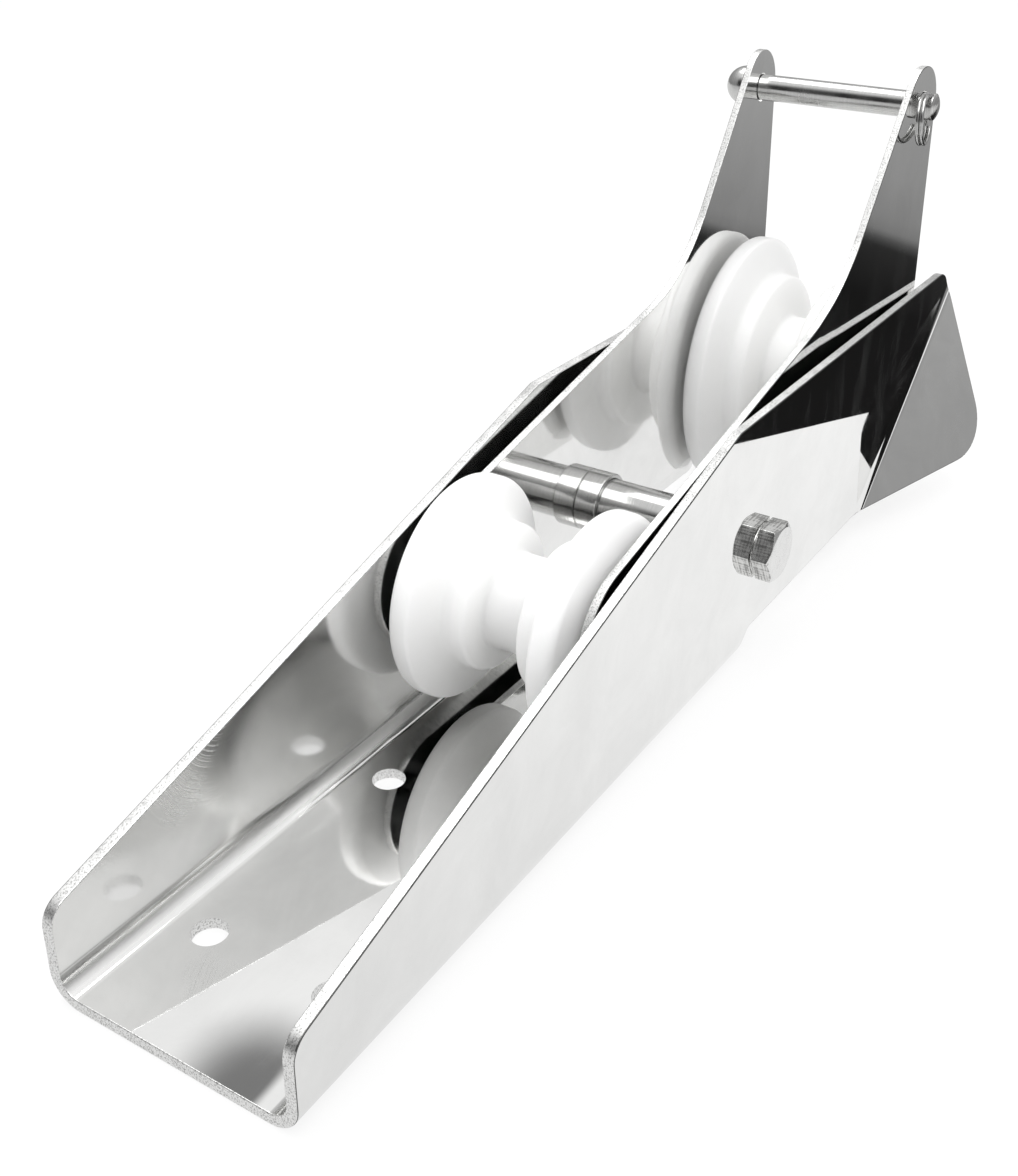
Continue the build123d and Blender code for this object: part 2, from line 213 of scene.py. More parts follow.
def new_tree(name, sockets):
    """A Geometry Nodes tree with named inputs, and its input node."""
    tree = bpy.data.node_groups.new(name, "GeometryNodeTree")
    tree.interface.new_socket("Geometry", in_out="OUTPUT", socket_type="NodeSocketGeometry")
    tree.interface.new_socket("Geometry", in_out="INPUT", socket_type="NodeSocketGeometry")
    for label, kind, value in sockets:
        socket = tree.interface.new_socket(label, in_out="INPUT", socket_type="NodeSocket" + kind)
        socket.default_value = value
    tree.interface.new_socket("Material", in_out="INPUT", socket_type="NodeSocketMaterial")
    return tree, tree.nodes.new("NodeGroupInput").outputs


def end_tree(tree, geometry, material):
    """Close a tree: real geometry, with its material."""
    real = add(tree, "GeometryNodeRealizeInstances", {"Geometry": geometry})
    painted = add(tree, "GeometryNodeSetMaterial", {"Geometry": real, "Material": material})
    add(tree, "NodeGroupOutput", {"Geometry": painted})
    return tree


def turning_tree():
    """Turns an outline of (radius, y) points about a cross axis, each point rounded by its own radius."""
    sockets = [("Axis X", "Float", 0.0), ("Axis Z", "Float", 0.0)]
    sockets += [("Around", "Int", 96), ("Rounding steps", "Int", 4)]
    tree, given = new_tree("turning", sockets)
    outline = add(tree, "GeometryNodeMeshToCurve", {"Mesh": given["Geometry"]})
    rounding = add(tree, "GeometryNodeInputNamedAttribute", {"Name": "rounding"}, data_type="FLOAT")
    soft = {"Curve": outline, "Radius": rounding.outputs["Attribute"], "Count": given["Rounding steps"]}
    soft = add(tree, "GeometryNodeFilletCurve", {**soft, "Limit Radius": True}, mode="POLY")
    line = add(tree, "GeometryNodeCurveToMesh", {"Curve": soft})
    rows = add(tree, "GeometryNodeAttributeDomainSize", {"Geometry": line}, component="MESH")
    rows = rows.outputs["Point Count"]
    columns = add(tree, "ShaderNodeMath", (given["Around"], 1), operation="ADD")
    grid = add(tree, "GeometryNodeMeshGrid", {"Vertices X": columns, "Vertices Y": rows})
    index = add(tree, "GeometryNodeInputIndex")
    row = add(tree, "ShaderNodeMath", (index, rows), operation="MODULO")
    share = add(tree, "ShaderNodeMath", (index, rows), operation="DIVIDE")
    column = add(tree, "ShaderNodeMath", {0: share}, operation="FLOOR")
    step = add(tree, "ShaderNodeMath", (2 * pi, given["Around"]), operation="DIVIDE")
    angle = add(tree, "ShaderNodeMath", (column, step), operation="MULTIPLY")
    point = {"Geometry": line, "Value": add(tree, "GeometryNodeInputPosition"), "Index": row}
    point = add(tree, "GeometryNodeSampleIndex", point, data_type="FLOAT_VECTOR", domain="POINT")
    parts = add(tree, "ShaderNodeSeparateXYZ", {0: point}).outputs
    turned = {"Y": parts["Y"]}
    for axis, operation in (("X", "COSINE"), ("Z", "SINE")):
        swing = add(tree, "ShaderNodeMath", {0: angle}, operation=operation)
        moved = (parts["X"], swing, given["Axis " + axis])
        turned[axis] = add(tree, "ShaderNodeMath", moved, operation="MULTIPLY_ADD")
    there = add(tree, "ShaderNodeCombineXYZ", turned)
    skin = add(tree, "GeometryNodeSetPosition", {"Geometry": grid, "Position": there})
    closed = add(tree, "GeometryNodeMergeByDistance", {"Geometry": skin, "Distance": SAME_POINT})
    return end_tree(tree, closed, given["Material"])


def both_sides_tree():
    """Sets a right-hand piece on both sides of the channel."""
    tree, given = new_tree("both_sides", [])
    piece = add(tree, "GeometryNodeGeometryToInstance", {"Geometry": given["Geometry"]})
    other = add(tree, "GeometryNodeTransform", {"Geometry": given["Geometry"], "Scale": (1, -1, 1)})
    pair = add(tree, "GeometryNodeJoinGeometry")
    tree.links.new(piece.outputs[0], pair.inputs["Geometry"])
    tree.links.new(other.outputs[0], pair.inputs["Geometry"])
    return end_tree(tree, pair, given["Material"])


def split_ring_tree():
    """A split ring: two flat turns of wire, with a step from one to the other between the wire's ends."""
    sockets = [("Radius", "Float", 8 * MM), ("Wire", "Float", MM), ("Pitch", "Float", MM)]
    sockets += [("Step half turn", "Float", 0.08), ("Points", "Int", 220), ("Round wire", "Int", 18)]
    tree, given = new_tree("split_ring", sockets)
    line = add(tree, "GeometryNodeMeshLine", {"Count": given["Points"]})
    bent = add(tree, "GeometryNodeMeshToCurve", {"Mesh": line})
    share = add(tree, "GeometryNodeSplineParameter").outputs["Factor"]
    half_step = given["Step half turn"]
    last = add(tree, "ShaderNodeMath", (2.0, half_step), operation="SUBTRACT")
    turns = add(tree, "ShaderNodeMapRange", {"Value": share, "To Min": half_step, "To Max": last})
    angle = add(tree, "ShaderNodeMath", (turns, 2 * pi), operation="MULTIPLY")
    step_from = add(tree, "ShaderNodeMath", (1.0, half_step), operation="SUBTRACT")
    step_to = add(tree, "ShaderNodeMath", (1.0, half_step), operation="ADD")
    layer = (turns, step_from, step_to, -0.5, 0.5)
    layer = add(tree, "ShaderNodeMapRange", layer, interpolation_type="SMOOTHSTEP")
    along = {"Z": add(tree, "ShaderNodeMath", (layer, given["Pitch"]), operation="MULTIPLY")}
    for axis, operation in (("X", "COSINE"), ("Y", "SINE")):
        swing = add(tree, "ShaderNodeMath", {0: angle}, operation=operation)
        along[axis] = add(tree, "ShaderNodeMath", (swing, given["Radius"]), operation="MULTIPLY")
    there = add(tree, "ShaderNodeCombineXYZ", along)
    coil = add(tree, "GeometryNodeSetPosition", {"Geometry": bent, "Position": there})
    half = add(tree, "ShaderNodeMath", (given["Wire"], 2.0), operation="DIVIDE")
    section = {"Resolution": given["Round wire"], "Radius": half}
    section = add(tree, "GeometryNodeCurvePrimitiveCircle", section)
    wire = add(tree, "GeometryNodeCurveToMesh", {"Curve": coil, "Profile Curve": section, "Fill Caps": True})
    return end_tree(tree, wire, given["Material"])


def tree_modifier(piece, tree, **values):
    """Give a piece a Geometry Nodes modifier, with its inputs set by identifier."""
    modifier = piece.modifiers.new(tree.name, "NODES")
    modifier.node_group = tree
    for item in tree.interface.items_tree:
        label = item.name.lower().replace(" ", "_")
        if item.in_out == "INPUT" and label in values:
            modifier[item.identifier] = values[label]
    return modifier


def new_piece(name, points, edges=(), faces=()):
    """A new object with a mesh of these points."""
    mesh = bpy.data.meshes.new(name)
    mesh.from_pydata([tuple(point) for point in points], edges, faces)
    piece = bpy.data.objects.new(name, mesh)
    bpy.context.scene.collection.objects.link(piece)
    return piece


def shaped_piece(name, shape):
    """A new object with the mesh of a shape that is then done with."""
    piece = new_piece(name, [])
    shape.to_mesh(piece.data)
    shape.free()
    return piece


def outline_piece(name, outline):
    """An object whose mesh is an open line of (radius, y, rounding) points, to be turned."""
    edges = [(index, index + 1) for index in range(len(outline) - 1)]
    piece = new_piece(name, [(radius, y, 0) for radius, y, rounding in outline], edges)
    rounding = piece.data.attributes.new("rounding", "FLOAT", "POINT")
    rounding.data.foreach_set("value", [rounding for radius, y, rounding in outline])
    return piece


def settle(piece):
    """Turn a piece's modifiers into a plain mesh."""
    bpy.context.view_layer.update()
    evaluated = piece.evaluated_get(bpy.context.evaluated_depsgraph_get())
    mesh = bpy.data.meshes.new_from_object(evaluated)
    piece.modifiers.clear()
    piece.data = mesh
    return piece


def outward(piece):
    """Merge doubles and point every face outward."""
    shape = bmesh.new()
    shape.from_mesh(piece.data)
    bmesh.ops.remove_doubles(shape, verts=shape.verts, dist=SAME_POINT)
    bmesh.ops.recalc_face_normals(shape, faces=shape.faces)
    shape.to_mesh(piece.data)
    shape.free()
    return piece


def finish_edges(piece, width, segments=2, angle=SHARP_TURN, marked=False):
    """Break a piece's sharp or marked edges and let its flat faces stay flat under a smooth shade."""
    for face in piece.data.polygons:
        face.use_smooth = True
    if width > 0:
        broken = piece.modifiers.new("broken_edges", "BEVEL")
        broken.width = width
        broken.segments = segments
        broken.limit_method = "WEIGHT" if marked else "ANGLE"
        broken.angle_limit = radians(angle)
        broken.use_clamp_overlap = not marked
        broken.material = GROUND if marked else -1
    weighted = piece.modifiers.new("flat_faces", "WEIGHTED_NORMAL")
    weighted.mode = "FACE_AREA"
    weighted.keep_sharp = True
    return settle(piece)


def keep(piece, body, slot, *nodes):
    """Say what a finished piece rides on and which CAD nodes it stands for; the slot argument is not used."""
    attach(piece, body)
    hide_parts(*nodes)
    return piece


def turned_piece(name, node, outline, material, around=96, steps=4):
    """A round piece on the axis of a CAD node, from an outline of (radius, y, rounding) points."""
    centre = middle(node)
    piece = outline_piece(name, outline)
    tree = bpy.data.node_groups.get("turning") or turning_tree()
    fineness = {"around": around, "rounding_steps": steps}
    tree_modifier(piece, tree, axis_x=centre.x, axis_z=centre.z, material=material, **fineness)
    return outward(settle(piece))


def paired(piece, material):
    """A right-hand piece, joined by its mirror image."""
    tree = bpy.data.node_groups.get("both_sides") or both_sides_tree()
    tree_modifier(piece, tree, material=material)
    return outward(settle(piece))


def tube_outline(inner, outer, y_from, y_to, rounding):
    """The outline of a tube, starting and ending in the middle of its bore."""
    half = (y_from + y_to) / 2
    corners = [(inner, y_to, 0.5 * rounding), (outer, y_to, rounding), (outer, y_from, rounding)]
    return [(inner, half, 0), *corners, (inner, y_from, 0.5 * rounding), (inner, half, 0)]


def merged_copy(node, name):
    """A copy of a CAD node's mesh, with its loose triangles merged and its flat faces made whole."""
    piece = bpy.data.objects.new(name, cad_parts[node].data.copy())
    piece.data.materials.clear()
    for attribute in ("custom_normal", "UVMap"):
        if attribute in piece.data.attributes:
            piece.data.attributes.remove(piece.data.attributes[attribute])
    bpy.context.scene.collection.objects.link(piece)
    shape = bmesh.new()
    shape.from_mesh(piece.data)
    bmesh.ops.remove_doubles(shape, verts=shape.verts, dist=0.002 * MM)
    bmesh.ops.dissolve_limit(shape, angle_limit=radians(0.4), verts=shape.verts, edges=shape.edges)
    for edge in shape.edges:
        edge.smooth = True
    shape.to_mesh(piece.data)
    shape.free()
    return piece


# Materials


def srgb(code):
    """A colour written as sRGB hex, in the linear values that shaders take."""
    parts = [int(code[start : start + 2], 16) / 255 for start in (1, 3, 5)]
    return (*[part / 12.92 if part <= 0.04045 else ((part + 0.055) / 1.055) ** 2.4 for part in parts], 1.0)


def start_material(name, values):
    """A new material with its shader, and the piece's own coordinates."""
    material = bpy.data.materials.new(name)
    material.use_nodes = True
    tree = material.node_tree
    tree.nodes.clear()
    shader = add(tree, "ShaderNodeBsdfPrincipled", values)
    add(tree, "ShaderNodeOutputMaterial", {"Surface": shader})
    return material, tree, shader, add(tree, "ShaderNodeTexCoord").outputs["Object"]


def end_material(tree, shader, rough, tint, relief):
    """Give a shader its roughness, its colour and its relief, each as a pattern and two values."""
    pattern, low, high = rough
    rough = add(tree, "ShaderNodeMapRange", (pattern, 0.3, 0.7, low, high))
    pattern, first, second = tint
    tint = add(tree, "ShaderNodeMix", {0: pattern, 6: srgb(first), 7: srgb(second)}, data_type="RGBA")
    pattern, strength, height = relief
    relief = add(tree, "ShaderNodeBump", {"Height": pattern, "Strength": strength, "Distance": height})
    tree.links.new(rough.outputs[0], shader.inputs["Roughness"])
    tree.links.new(tint.outputs[2], shader.inputs["Base Color"])
    tree.links.new(relief.outputs[0], shader.inputs["Normal"])


def facing(tree, axis):
    """How squarely the surface faces along an axis of the piece, either way."""
    normal = add(tree, "ShaderNodeTexCoord").outputs["Normal"]
    parts = add(tree, "ShaderNodeSeparateXYZ", {0: normal}).outputs
    return add(tree, "ShaderNodeMath", {0: parts[axis]}, operation="ABSOLUTE")


def buffing_arcs(tree, place, centre, patch):
    """Broken scratches that a buffing wheel left along arcs round a point, in one patch of the left wall."""
    away = add(tree, "ShaderNodeVectorMath", (place, centre), operation="SUBTRACT")
    flat = add(tree, "ShaderNodeVectorMath", (away, (1.0, 0.0, 1.0)), operation="MULTIPLY")
    radius = add(tree, "ShaderNodeVectorMath", {0: flat}, operation="LENGTH").outputs["Value"]
    strokes = {"W": radius, "Scale": 1500.0, "Roughness": 0.7}
    strokes = add(tree, "ShaderNodeTexNoise", strokes, noise_dimensions="1D")
    marks = add(tree, "ShaderNodeMapRange", (strokes, 0.5, 0.6))
    broken = add(tree, "ShaderNodeTexNoise", {"Vector": place, "Scale": 60.0, "Detail": 1.0})
    kept = add(tree, "ShaderNodeMapRange", (broken, 0.35, 0.55))
    away = add(tree, "ShaderNodeVectorMath", (place, patch), operation="DISTANCE").outputs["Value"]
    near = add(tree, "ShaderNodeMapRange", (away, 0.008, 0.018, 1.0, 0.0))
    marks = add(tree, "ShaderNodeMath", (marks, kept), operation="MULTIPLY")
    return add(tree, "ShaderNodeMath", (marks, near), operation="MULTIPLY")


# Where the buffing wheel stood, and the patch of the left wall that it marked.
BUFFING_CENTRE = (-9 * MM, 0.0, 45 * MM)
BUFFED_PATCH = (-22 * MM, 32 * MM, 36 * MM)


def mirror_polished_stainless(name, code, clear, hazy, residue, wall=0.0, fold=0.0, sag=0.0, arcs=0.0):
    # Cold-rolled stainless sheet, buffed to a mirror. The eye sees its surroundings, bent a little by the
    # roll's long waves, with a haze of polish smears, a dull film where it was wiped and a few fine scratches
    # along the sheet. The inside and the cheeks are buffed less, and the folds, which a wheel can't reach,
    # stay satin. Beside a fold the base curves up a little, so a broad soft highlight lies along it. The
    # wheel left arcs of scratches, drawn 0.7 mm apart to show, near the rear of the left wall's top edge.
    material, tree, shader, place = start_material(name, {"Metallic": 1.0})
    waves = {"Vector": place, "Scale": 16.0, "Detail": 1.0, "Roughness": 0.35}
    waves = add(tree, "ShaderNodeTexNoise", waves)
    smear = {"Vector": place, "Scale": 38.0, "Detail": 5.0, "Roughness": 0.62, "Distortion": 0.5}
    smear = add(tree, "ShaderNodeTexNoise", smear)
    haze = add(tree, "ShaderNodeMapRange", (smear, 0.5, 0.78, clear, hazy))
    along = {"Vector": place, "Scale": (9.0, 1700.0, 1700.0), "Rotation": (0, 0.05, 0)}
    along = add(tree, "ShaderNodeMapping", along)
    hair = add(tree, "ShaderNodeTexNoise", {"Vector": along, "Scale": 1.0})
    scratch = add(tree, "ShaderNodeMapRange", (hair, 0.64, 0.74))
    rough = add(tree, "ShaderNodeMath", (scratch, 0.03, haze), operation="MULTIPLY_ADD")
    cloud = add(tree, "ShaderNodeMapRange", (smear, 0.35, 0.65))
    tint = add(tree, "ShaderNodeMix", {0: cloud, 6: srgb(code), 7: srgb("#EAEAE9")}, data_type="RGBA")
    across = add(tree, "ShaderNodeSeparateXYZ", {0: place}).outputs["Y"]
    across = add(tree, "ShaderNodeMath", {0: across}, operation="ABSOLUTE")
    beside = add(tree, "ShaderNodeMath", (across, 21 * MM), operation="SUBTRACT")
    beside = add(tree, "ShaderNodeMath", (beside, 0.0), operation="MAXIMUM")
    beside = add(tree, "ShaderNodeMath", (beside, 2.0), operation="POWER")
    curved = add(tree, "ShaderNodeBump", {"Height": beside, "Strength": 1.0, "Distance": sag})
    bent = {"Height": waves, "Strength": 1.0, "Distance": 0.018 * MM, "Normal": curved}
    bent = add(tree, "ShaderNodeBump", bent)
    tall = {"Vector": place, "Scale": (95.0, 95.0, 16.0), "Rotation": (0, 0.35, 0)}
    tall = add(tree, "ShaderNodeMapping", tall)
    wiped = add(tree, "ShaderNodeTexNoise", {"Vector": tall, "Scale": 1.0, "Detail": 4.0, "Roughness": 0.6})
    film = add(tree, "ShaderNodeMapRange", (wiped, 0.5, 0.75, 1.0, 1.0 - residue))
    lean = facing(tree, "Z")
    bend = add(tree, "ShaderNodeMapRange", (lean, 0.2, 0.45, wall, fold))
    flat = add(tree, "ShaderNodeMapRange", (lean, 0.85, 0.985, 1.0, 0.0))
    rough = add(tree, "ShaderNodeMath", (bend, flat, rough), operation="MULTIPLY_ADD")
    if arcs:
        marks = buffing_arcs(tree, place, BUFFING_CENTRE, BUFFED_PATCH)
        rough = add(tree, "ShaderNodeMath", (marks, arcs, rough), operation="MULTIPLY_ADD")
    tree.links.new(film.outputs[0], shader.inputs["Metallic"])
    tree.links.new(tint.outputs[2], shader.inputs["Base Color"])
    tree.links.new(rough.outputs[0], shader.inputs["Roughness"])
    tree.links.new(bent.outputs[0], shader.inputs["Normal"])
    return material


def ground_sheet_edge(code):
    # The sheet's cut edge, ground by hand after cutting. It stays brighter and rougher than the faces and
    # sparkles in small facets, each a few tenths of a millimetre across.
    material, tree, shader, place = start_material("ground_stainless_edge", {"Metallic": 1.0})
    grit = add(tree, "ShaderNodeTexNoise", {"Vector": place, "Scale": 2300.0, "Roughness": 0.6})
    specks = add(tree, "ShaderNodeMapRange", (grit, 0.34, 0.52))
    patch = add(tree, "ShaderNodeTexNoise", {"Vector": place, "Scale": 160.0})
    end_material(tree, shader, (patch, 0.3, 0.5), (specks, "#B2B2B1", code), (grit, 0.25, 0.02 * MM))
    return material


def scraped_sheet_corner(code):
    # The outer corner of the sheet: a thin, dull grey line of painted shade, standing for the shadow of the
    # burr along the corner.
    material, tree, shader, place = start_material("scraped_sheet_corner", {"Metallic": 1.0})
    nicks = {"Vector": place, "Scale": 420.0, "Detail": 3.0, "Roughness": 0.65}
    nicks = add(tree, "ShaderNodeTexNoise", nicks)
    end_material(tree, shader, (nicks, 0.3, 0.5), (nicks, "#7C7C7B", code), (nicks, 0.5, 0.03 * MM))
    return material


def turned_stainless(name, code, smooth, dull):
    # Stainless bar, turned on a lathe and left as cut. Fine rings run round it, about 0.3 mm apart, which
    # draw the highlights out into soft bands along the bar.
    material, tree, shader, place = start_material(name, {"Metallic": 1.0})
    along = add(tree, "ShaderNodeSeparateXYZ", {0: place}).outputs["Y"]
    rings = {"W": along, "Scale": 3300.0, "Roughness": 0.6}
    rings = add(tree, "ShaderNodeTexNoise", rings, noise_dimensions="1D")
    stain = add(tree, "ShaderNodeTexNoise", {"Vector": place, "Scale": 120.0, "Detail": 3.0})
    end_material(tree, shader, (stain, smooth, dull), (rings, code, "#A6A6A5"), (rings, 0.5, 0.012 * MM))
    return material


def machined_hexagon(code):
    # Stainless bolt heads, machined from hexagon bar. They are darker than the polished sheet, with tool
    # marks that cross on the flats, drawn 0.6 mm apart to show.
    material, tree, shader, place = start_material("machined_stainless_hexagon", {"Metallic": 1.0})
    lines = []
    for scale in ((1500.0, 130.0, 1500.0), (150.0, 1700.0, 150.0)):
        along = add(tree, "ShaderNodeMapping", {"Vector": place, "Scale": scale})
        lines.append(add(tree, "ShaderNodeTexNoise", {"Vector": along, "Scale": 1.0}))
    marks = add(tree, "ShaderNodeMath", (lines[0], lines[1]), operation="MULTIPLY")
    ends = add(tree, "ShaderNodeMapRange", (facing(tree, "Y"), 0.3, 0.8, 0.0, 0.13))
    marks = add(tree, "ShaderNodeMath", (marks, ends), operation="ADD")
    hatch = add(tree, "ShaderNodeMapRange", (marks, 0.17, 0.28))
    blotch = add(tree, "ShaderNodeTexNoise", {"Vector": place, "Scale": 260.0, "Detail": 3.0})
    end_material(tree, shader, (blotch, 0.14, 0.3), (hatch, "#9A9A99", code), (marks, 0.6, 0.02 * MM))
    return material


def drawn_spring_wire(code):
    # Stainless spring wire, drawn through a die and coiled cold: bright, with faint patches along the wire.
    material, tree, shader, place = start_material("drawn_spring_wire", {"Metallic": 1.0})
    drawn = add(tree, "ShaderNodeTexNoise", {"Vector": place, "Scale": 700.0, "Detail": 3.0})
    end_material(tree, shader, (drawn, 0.12, 0.26), (drawn, code, "#A9A9A8"), (drawn, 0.4, 0.01 * MM))
    return material


def milky_acetal(name, code, centre):
    # Acetal rod, turned into a roller and left natural. It is milky, so light goes some millimetres in and
    # softens the shade, and its satin skin carries very fine turning rings, drawn 0.5 mm apart to show.
    milk = {"Subsurface Weight": 1.0, "Subsurface Radius": (12 * MM,) * 3, "Subsurface Scale": 1.0}
    material, tree, shader, place = start_material(name, {"IOR": 1.48, "Specular IOR Level": 0.5, **milk})
    centred = add(tree, "ShaderNodeMapping", {"Vector": place, "Location": tuple(-centre)})
    parts = add(tree, "ShaderNodeSeparateXYZ", {0: centred}).outputs
    flat = add(tree, "ShaderNodeCombineXYZ", {"X": parts["X"], "Z": parts["Z"]})
    radius = add(tree, "ShaderNodeVectorMath", {0: flat}, operation="LENGTH").outputs["Value"]
    both = add(tree, "ShaderNodeMath", (radius, parts["Y"]), operation="ADD")
    rings = add(tree, "ShaderNodeTexNoise", {"W": both, "Scale": 2000.0}, noise_dimensions="1D")
    cloud = add(tree, "ShaderNodeTexNoise", {"Vector": place, "Scale": 45.0, "Detail": 3.0})
    end_material(tree, shader, (cloud, 0.3, 0.4), (cloud, code, "#F5F5F3"), (rings, 0.35, 0.006 * MM))
    return material


def pressed_washer_plastic(code):
    # Nylon washers stamped from sheet: off-white and waxy, with a faint grain.
    wax = {"IOR": 1.53, "Subsurface Weight": 0.2}
    material, tree, shader, place = start_material("stamped_nylon_washer", wax)
    grain = add(tree, "ShaderNodeTexNoise", {"Vector": place, "Scale": 900.0, "Detail": 3.0})
    end_material(tree, shader, (grain, 0.4, 0.52), (grain, code, "#D9D9D6"), (grain, 0.3, 0.01 * MM))
    return material


# Greys of the room and the tent, from near to far and from the table up, as (place, sRGB hex).
ROOM_GREYS = [
    (0.225, "#1A1A1A"),
    (0.266, "#2C2C2C"),
    (0.273, "#4E4E4E"),
    (0.281, "#7C7C7C"),
    (0.295, "#888888"),
    (0.34, "#929292"),
    (0.46, "#9F9F9F"),
    (1.0, "#AEAEAE"),
]
TENT_GREYS = [
    (0.10, "#9C9C9C"),
    (0.21, "#A5A5A5"),
    (0.50, "#BCBCBC"),
    (0.588, "#CCCCCC"),
    (0.669, "#DCDCDC"),
    (0.743, "#F0F0F0"),
    (0.81, "#FFFFFF"),
]

# Patches of the tent: degrees round and up, where each is full and where it ends, its share and its grey.
TENT_PATCHES = (
    (47, 46, 0.07, 0.21, 0.8, "#FFFFFF"),
    (-62, 40, 0.08, 0.25, 0.8, "#FFFFFF"),
    (-20, 26, 0.1, 0.3, 0.75, "#FFFFFF"),
    (47.5, 49.4, 0.034, 0.08, 0.88, "#606060"),
    (175, 18, 0.35, 0.75, 0.93, "#101010"),
)


def graded(tree, value, stops):
    """A grey that changes along a value, from (place, sRGB hex) stops."""
    ramp = add(tree, "ShaderNodeValToRGB", {"Fac": value})
    band = ramp.color_ramp
    while len(band.elements) < len(stops):
        band.elements.new(0.5)
    for element, (place, code) in zip(band.elements, stops):
        element.position = place
        element.color = srgb(code)
    return ramp


def show_instead(tree, surface):
    """Link another shader to a material's output."""
    end = next(node for node in tree.nodes if node.type == "OUTPUT_MATERIAL")
    tree.links.new(surface.outputs[0], end.inputs["Surface"])


def pale_studio_floor(code, glow, near, far):
    # Matt white board. To the camera, and in the metal's reflections, it also glows by a share, so that it is
    # as pale there as in the photograph and still keeps the object's shadow.
    matt = {"Base Color": srgb(code), "Roughness": 0.9}
    material, tree, shader, place = start_material("pale_studio_floor", matt)
    seen = add(tree, "ShaderNodeLightPath").outputs
    direct = (seen["Is Camera Ray"], seen["Is Transmission Ray"])
    direct = add(tree, "ShaderNodeMath", direct, operation="MAXIMUM")
    direct = add(tree, "ShaderNodeMath", (direct, glow), operation="MULTIPLY")
    mirrored = add(tree, "ShaderNodeMath", (seen["Is Glossy Ray"], 0.9), operation="MULTIPLY")
    share = add(tree, "ShaderNodeMath", (direct, mirrored), operation="MAXIMUM")
    # In the metal's reflections the floor's glow is painted light that grows along X, weaker near the camera
    # end, standing in for how the floor is lit.
    along = add(tree, "ShaderNodeSeparateXYZ", {0: place}).outputs["X"]
    painted_light_along_x = add(tree, "ShaderNodeMapRange", (along, -0.1, 0.16, near, far))
    strength = add(tree, "ShaderNodeMapRange", (seen["Is Glossy Ray"], 0.0, 1.0, 1.0, painted_light_along_x))
    light = add(tree, "ShaderNodeEmission", {"Color": (1, 1, 1, 1), "Strength": strength})
    show_instead(tree, add(tree, "ShaderNodeMixShader", {0: share, 1: shader, 2: light}))
    return material


def glowing(name, tree_colour):
    """A matt material whose light is a colour worked out from the piece's own coordinates."""
    material, tree, shader, place = start_material(name, {"Base Color": (0, 0, 0, 1), "Roughness": 1.0})
    show_instead(tree, add(tree, "ShaderNodeEmission", {"Color": tree_colour(tree, place), "Strength": 1.0}))
    return material


def room_beyond_the_table(tree, place):
    # Black just past the table's edge, then a grey that pales with distance.
    away = add(tree, "ShaderNodeVectorMath", (place, (1.0, 0.45, 0.0)), operation="DOT_PRODUCT")
    across = add(tree, "ShaderNodeMapRange", (away.outputs["Value"], 0.0, 2.0))
    return graded(tree, across, ROOM_GREYS)


def inside_of_the_light_tent(tree, place):
    # White cloth overhead that greys towards the table, paler on one side, with a dull patch where the cloth
    # hangs in folds and the dark gap that the photograph is taken through.
    way = add(tree, "ShaderNodeVectorMath", {0: place}, operation="NORMALIZE")
    colour = graded(tree, add(tree, "ShaderNodeSeparateXYZ", {0: way}).outputs["Z"], TENT_GREYS)
    for turn, rise, near, far, share, code in TENT_PATCHES:
        level = cos(radians(rise))
        patch = (level * cos(radians(turn)), level * sin(radians(turn)), sin(radians(rise)))
        away = add(tree, "ShaderNodeVectorMath", (way, patch), operation="DISTANCE").outputs["Value"]
        dull = add(tree, "ShaderNodeMapRange", (away, near, far, share, 0.0), interpolation_type="SMOOTHSTEP")
        mixed = add(tree, "ShaderNodeMix", {0: dull, 6: colour, 7: srgb(code)}, data_type="RGBA")
        colour = mixed.outputs[2]
    return colour


def shared(name, make, *values):
    """A material made once and used by several pieces."""
    return bpy.data.materials.get(name) or make(*values)


# Pieces


def mark_outline(piece, sharp):
    """Mark the edges between a sheet's polished faces and its ground edge, but not where they stay sharp."""
    shape = bmesh.new()
    shape.from_mesh(piece.data)
    weight = shape.edges.layers.float.new("bevel_weight_edge")
    for edge in shape.edges:
        if len(edge.link_faces) != 2 or edge.calc_face_angle() <= radians(SHARP_TURN):
            continue
        ground = [face.material_index == GROUND for face in edge.link_faces]
        if ground[0] != ground[1] and not any(sharp(corner.co) for corner in edge.verts):
            edge[weight] = 1.0
        else:
            edge.smooth = False
    shape.to_mesh(piece.data)
    shape.free()


def near_axis(point, reaches):
    """Whether a point lies within reach of the axis of one of these CAD nodes."""
    for node, reach in reaches.items():
        centre = middle(node)
        if (point.x - centre.x) ** 2 + (point.z - centre.z) ** 2 < reach**2:
            return True
    return False


def nowhere(*place):
    """No part of a piece."""
    return False


def sheet_piece(node, name, body, width, kind, outside, inside, sharp=nowhere, bore=nowhere):
    """A sheet piece: polished faces, ground edges with broken corners, and ground bores that stay sharp."""
    settings = bpy.context.scene.bow_sheet
    piece = merged_copy(node, name)
    piece.data.materials.append(outside)
    piece.data.materials.append(shared("ground_stainless_edge", ground_sheet_edge, settings.ground))
    piece.data.materials.append(shared("scraped_sheet_corner", scraped_sheet_corner, settings.corner_shade))
    piece.data.materials.append(inside)
    for face in piece.data.polygons:
        face.material_index = kind(face.center, face.normal)
    mark_outline(piece, sharp)
    finish_edges(piece, width, marked=True)
    for face in piece.data.polygons:
        # The outer strips of the broken edge carry the dark line of painted shade along the corner.
        outer = face.normal.y * face.center.y > 0 and abs(face.normal.x) < 0.75
        if bore(face.center, face.normal):
            face.material_index = GROUND
        elif face.material_index == GROUND and outer and 0.3 < abs(face.normal.y) < 0.97:
            face.material_index = SHADED_CORNER
    return keep(piece, body, "polished_steel", node)


